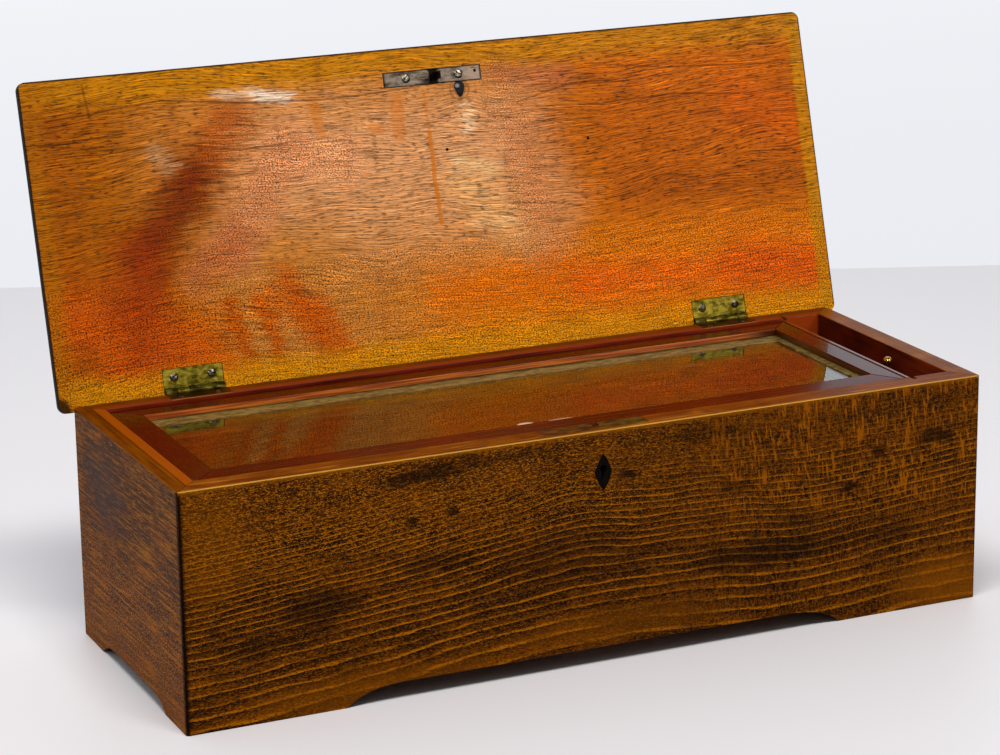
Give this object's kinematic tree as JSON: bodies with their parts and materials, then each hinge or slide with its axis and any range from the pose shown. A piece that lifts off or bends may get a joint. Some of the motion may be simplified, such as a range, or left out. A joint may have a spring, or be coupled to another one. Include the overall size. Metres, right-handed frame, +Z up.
{
  "type": "music box",
  "caption": "Long wooden table box on bracket feet, with a hinged lid standing open over a glazed inner frame, a small lock and a side compartment with a control lever",
  "frame": {"origin": "bottom centre of the open box's bounding box, on the surface it stands on", "axes": "+X along the front from left to right, -Y the front with the keyhole, +Z up"},
  "size_m": [0.4746, 0.2228, 0.2947],
  "materials": {
    "dark_oak": "dark stained open-grained wood under an old varnish",
    "end_wood": "greyer brown stained wood, satin",
    "plain_deal": "plain unpolished softwood",
    "mahogany": "figured mahogany, glossy varnish",
    "frame_mahogany": "dark red mahogany, french polished",
    "clear_glass": "clear old window glass",
    "aged_brass": "olive tarnished brass, satin",
    "polished_brass": "worn bright brass",
    "dark_steel": "grey-brown aged steel, satin",
    "screw_steel": "worn bright steel",
    "ebony": "black ebony inlay, satin"
  },
  "bodies": {
    "case": {"front_board": "dark_oak", "back_board": "dark_oak", "left_end": "end_wood", "right_end": "end_wood", "bottom_board": "plain_deal", "partition": "mahogany", "rest_batten_front": "plain_deal", "rest_batten_back": "plain_deal", "frame_front_rail": "frame_mahogany", "frame_back_rail": "frame_mahogany", "frame_left_stile": "frame_mahogany", "frame_right_stile": "frame_mahogany", "glass_pane": "clear_glass", "lock": "aged_brass", "keyhole_escutcheon": "ebony", "lever_bracket": "aged_brass", "hinge_left_case_leaf": "aged_brass", "hinge_left_case_screw_1": "screw_steel", "hinge_left_case_screw_2": "screw_steel", "hinge_right_case_leaf": "aged_brass", "hinge_right_case_screw_1": "screw_steel", "hinge_right_case_screw_2": "screw_steel"},
    "lid": {"lid_board": "mahogany", "strike_plate": "dark_steel", "strike_screw_1": "screw_steel", "strike_screw_2": "screw_steel", "hinge_left_lid_leaf": "aged_brass", "hinge_left_lid_screw_1": "screw_steel", "hinge_left_lid_screw_2": "screw_steel", "hinge_right_lid_leaf": "aged_brass", "hinge_right_lid_screw_1": "screw_steel", "hinge_right_lid_screw_2": "screw_steel"},
    "lever": {"control_lever": "dark_steel", "lever_knob": "polished_brass"}
  },
  "joints": [
    {"name": "lid_hinge", "type": "hinge", "parent": "case", "child": "lid", "pos_m": [0, 0.05735, 0.1277], "axis": [1, 0, 0], "range_deg": [0, 106]},
    {"name": "lever_pivot", "type": "hinge", "parent": "case", "child": "lever", "pos_m": [0.20735, -0.05245, 0.0258], "axis": [-1, 0, 0], "range_deg": [0, 14]}
  ]
}
